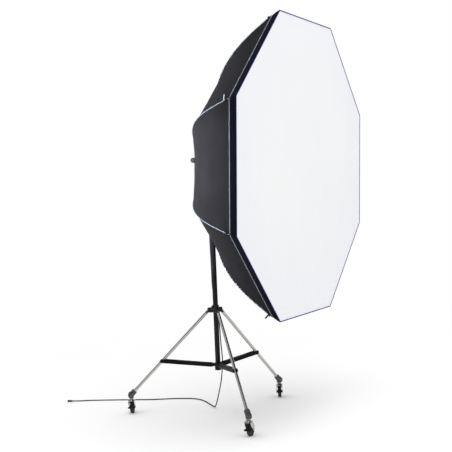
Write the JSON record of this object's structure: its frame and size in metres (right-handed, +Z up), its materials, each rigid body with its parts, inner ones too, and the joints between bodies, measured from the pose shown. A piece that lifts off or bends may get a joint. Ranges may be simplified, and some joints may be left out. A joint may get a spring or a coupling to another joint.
{
  "type": "studio softbox on wheeled stand",
  "caption": "Large octagonal studio softbox on a compact flash head, carried by a telescopic folding stand on casters.",
  "frame": {"origin": "centre of the whole object's footprint on the floor, without its free cord", "axes": "+Z up, the softbox faces -Y, +X to the right seen from behind the diffuser's front"},
  "size_m": [1.7554, 1.9241, 2.4168],
  "materials": {
    "black_cloth": "matte",
    "white_cloth": "matte",
    "rod_black": "satin",
    "satin_aluminium": "satin",
    "bracket_metal": "satin",
    "head_shell": "matte",
    "glass": "gloss",
    "black_plastic": "satin",
    "test_button": "gloss",
    "black_tube": "satin",
    "black_steel": "satin",
    "pedal_black": "satin",
    "chrome": "polished",
    "grey_casting": "satin",
    "tyre": "matte",
    "cord_black": "matte"
  },
  "bodies": {
    "root": {"base_column": "black_tube", "lower_collar": "black_plastic", "riser_lock_collar": "black_plastic", "cord_floor_run": "cord_black", "cord_plug": "cord_black"},
    "hub": {"hub_collar": "black_plastic"},
    "hub_knob": {"hub_lock_knob": "black_plastic"},
    "riser": {"riser_tube": "black_tube", "spigot": "chrome", "riser_cord_tie": "black_plastic", "cord_clip_run": "cord_black"},
    "riser_knob": {"riser_lock_knob": "black_plastic"},
    "bracket": {"tilt_bracket": "bracket_metal", "bracket_cord_clip": "black_plastic", "cord_head_run": "cord_black"},
    "spigot_knob": {"spigot_clamp_knob": "black_plastic"},
    "tilt_clamp": {"tilt_lever": "black_plastic"},
    "head": {"head_casing": "head_shell", "bayonet_flange": "satin_aluminium", "lamp_plate": "satin_aluminium", "flash_tube": "glass", "glass_dome": "glass", "head_rear_panel": "head_shell", "capacitor_bank": "satin_aluminium", "rear_handle": "black_plastic", "strain_relief": "black_plastic"},
    "dial": {"power_dial": "black_plastic"},
    "button": {"test_button": "test_button"},
    "switch": {"power_switch": "black_plastic"},
    "softbox": {"shell_cover": "black_cloth", "front_lip": "black_cloth", "front_diffuser": "white_cloth", "inner_baffle": "white_cloth", "speed_ring": "satin_aluminium", "rod_1": "rod_black", "rod_2": "rod_black", "rod_3": "rod_black", "rod_4": "rod_black", "rod_5": "rod_black", "rod_6": "rod_black", "rod_7": "rod_black", "rod_8": "rod_black"},
    "front_leg": {"front_leg": "chrome", "front_foot": "grey_casting"},
    "front_brace": {"front_brace": "black_steel"},
    "front_caster": {"front_fork": "chrome"},
    "front_wheel": {"front_wheel": "tyre"},
    "front_pedal": {"front_brake_pedal": "pedal_black"},
    "right_leg": {"right_leg": "chrome", "right_foot": "grey_casting"},
    "right_brace": {"right_brace": "black_steel"},
    "right_caster": {"right_fork": "chrome"},
    "right_wheel": {"right_wheel": "tyre"},
    "right_pedal": {"right_brake_pedal": "pedal_black"},
    "rear_leg": {"rear_leg": "chrome", "rear_foot": "grey_casting"},
    "rear_brace": {"rear_brace": "black_steel"},
    "rear_caster": {"rear_fork": "chrome"},
    "rear_wheel": {"rear_wheel": "tyre"},
    "rear_pedal": {"rear_brake_pedal": "pedal_black"}
  },
  "joints": [
    {"name": "hub_slide", "type": "slide", "parent": "root", "child": "hub", "axis": [0, 0, 1], "range_m": [0, 0.4113]},
    {"name": "front_leg_fold", "type": "hinge", "parent": "hub", "child": "front_leg", "pos_m": [-0.03095, 0.01653, 0.6735], "axis": [0.7201, -0.6939, 0], "range_deg": [0, 31.4]},
    {"name": "front_brace_fold", "type": "hinge", "parent": "root", "child": "front_brace", "pos_m": [-0.02776, 0.01984, 0.3238], "axis": [-0.7201, 0.6939, 0], "range_deg": [0, 66.1]},
    {"name": "right_leg_fold", "type": "hinge", "parent": "hub", "child": "right_leg", "pos_m": [0.04329, 0.0379, 0.6735], "axis": [0.2409, 0.9705, 0], "range_deg": [0, 31.4]},
    {"name": "right_brace_fold", "type": "hinge", "parent": "root", "child": "right_brace", "pos_m": [0.03882, 0.03901, 0.3238], "axis": [-0.2409, -0.9705, 0], "range_deg": [0, 66.1]},
    {"name": "rear_leg_fold", "type": "hinge", "parent": "hub", "child": "rear_leg", "pos_m": [-0.01234, 0.0915, 0.6735], "axis": [-0.961, -0.2766, 0], "range_deg": [0, 31.4]},
    {"name": "rear_brace_fold", "type": "hinge", "parent": "root", "child": "rear_brace", "pos_m": [-0.01107, 0.08708, 0.3238], "axis": [0.961, 0.2766, 0], "range_deg": [0, 66.1]},
    {"name": "front_caster_swivel", "type": "hinge", "parent": "front_leg", "child": "front_caster", "pos_m": [-0.41135, -0.37821, 0.12], "axis": [0, 0, 1], "continuous": true},
    {"name": "front_wheel_spin", "type": "hinge", "parent": "front_caster", "child": "front_wheel", "pos_m": [-0.38365, -0.37407, 0.04], "axis": [-0.1478, 0.989, 0], "continuous": true},
    {"name": "front_pedal_press", "type": "hinge", "parent": "front_caster", "child": "front_pedal", "pos_m": [-0.42223, -0.37984, 0.076], "axis": [0.1478, -0.989, 0], "range_deg": [0, 10]},
    {"name": "right_caster_swivel", "type": "hinge", "parent": "right_leg", "child": "right_caster", "pos_m": [0.57534, -0.09416, 0.12], "axis": [0, 0, 1], "continuous": true},
    {"name": "right_wheel_spin", "type": "hinge", "parent": "right_caster", "child": "right_wheel", "pos_m": [0.6004, -0.08167, 0.04], "axis": [-0.4462, 0.8949, 0], "continuous": true},
    {"name": "right_pedal_press", "type": "hinge", "parent": "right_caster", "child": "right_pedal", "pos_m": [0.5655, -0.09907, 0.076], "axis": [0.4462, -0.8949, 0], "range_deg": [0, 10]},
    {"name": "rear_caster_swivel", "type": "hinge", "parent": "rear_leg", "child": "rear_caster", "pos_m": [-0.16399, 0.61831, 0.12], "axis": [0, 0, 1], "continuous": true},
    {"name": "rear_wheel_spin", "type": "hinge", "parent": "rear_caster", "child": "rear_wheel", "pos_m": [-0.13927, 0.63145, 0.04], "axis": [-0.4695, 0.8829, 0], "continuous": true},
    {"name": "rear_pedal_press", "type": "hinge", "parent": "rear_caster", "child": "rear_pedal", "pos_m": [-0.17371, 0.61315, 0.076], "axis": [0.4695, -0.8829, 0], "range_deg": [0, 10]},
    {"name": "mast_slide", "type": "slide", "parent": "root", "child": "riser", "axis": [0, 0, 1], "range_m": [-0.1, 0.52], "deforming": ["cord_floor_run"]},
    {"name": "head_pan", "type": "hinge", "parent": "riser", "child": "bracket", "pos_m": [0, 0.04865, 1.4], "axis": [0, 0, 1], "continuous": true, "deforming": ["cord_clip_run"]},
    {"name": "head_tilt", "type": "hinge", "parent": "bracket", "child": "head", "pos_m": [0, 0.04865, 1.4787], "axis": [1, 0, 0], "range_deg": [-45, 12], "deforming": ["cord_head_run"]},
    {"name": "softbox_turn", "type": "hinge", "parent": "head", "child": "softbox", "pos_m": [0, -0.03037, 1.56537], "axis": [0, 0.9991, 0.0432], "continuous": true},
    {"name": "hub_knob_turn", "type": "hinge", "parent": "hub", "child": "hub_knob", "pos_m": [0, 0.04865, 0.6965], "axis": [-0.9703, 0.2419, 0], "range_deg": [-180, 180]},
    {"name": "riser_knob_turn", "type": "hinge", "parent": "root", "child": "riser_knob", "pos_m": [0, 0.04865, 1.225], "axis": [-1, 0, 0], "range_deg": [-180, 180]},
    {"name": "spigot_knob_turn", "type": "hinge", "parent": "bracket", "child": "spigot_knob", "pos_m": [0, 0.04865, 1.395], "axis": [1, 0, 0], "range_deg": [-180, 180]},
    {"name": "tilt_lever_turn", "type": "hinge", "parent": "bracket", "child": "tilt_clamp", "pos_m": [0, 0.04865, 1.4787], "axis": [1, 0, 0], "range_deg": [-80, 80]},
    {"name": "power_dial_turn", "type": "hinge", "parent": "head", "child": "dial", "pos_m": [-0.012, 0.12115, 1.59594], "axis": [0, 0.9991, 0.0432], "range_deg": [-135, 135]},
    {"name": "test_button_press", "type": "slide", "parent": "head", "child": "button", "axis": [0, -0.9991, -0.0432], "range_m": [0, 0.003], "stiffness_N_per_m": 300},
    {"name": "power_switch_rock", "type": "hinge", "parent": "head", "child": "switch", "pos_m": [-0.026, 0.1227, 1.55997], "axis": [1, 0, 0], "range_deg": [0, 10]}
  ],
  "couplings": [
    {"joint": "front_leg_fold", "follows": "hub_slide", "rad_per_m": 1.3301},
    {"joint": "front_brace_fold", "follows": "hub_slide", "rad_per_m": 2.7997},
    {"joint": "right_leg_fold", "follows": "hub_slide", "rad_per_m": 1.3301},
    {"joint": "right_brace_fold", "follows": "hub_slide", "rad_per_m": 2.7997},
    {"joint": "rear_leg_fold", "follows": "hub_slide", "rad_per_m": 1.3301},
    {"joint": "rear_brace_fold", "follows": "hub_slide", "rad_per_m": 2.7997}
  ]
}
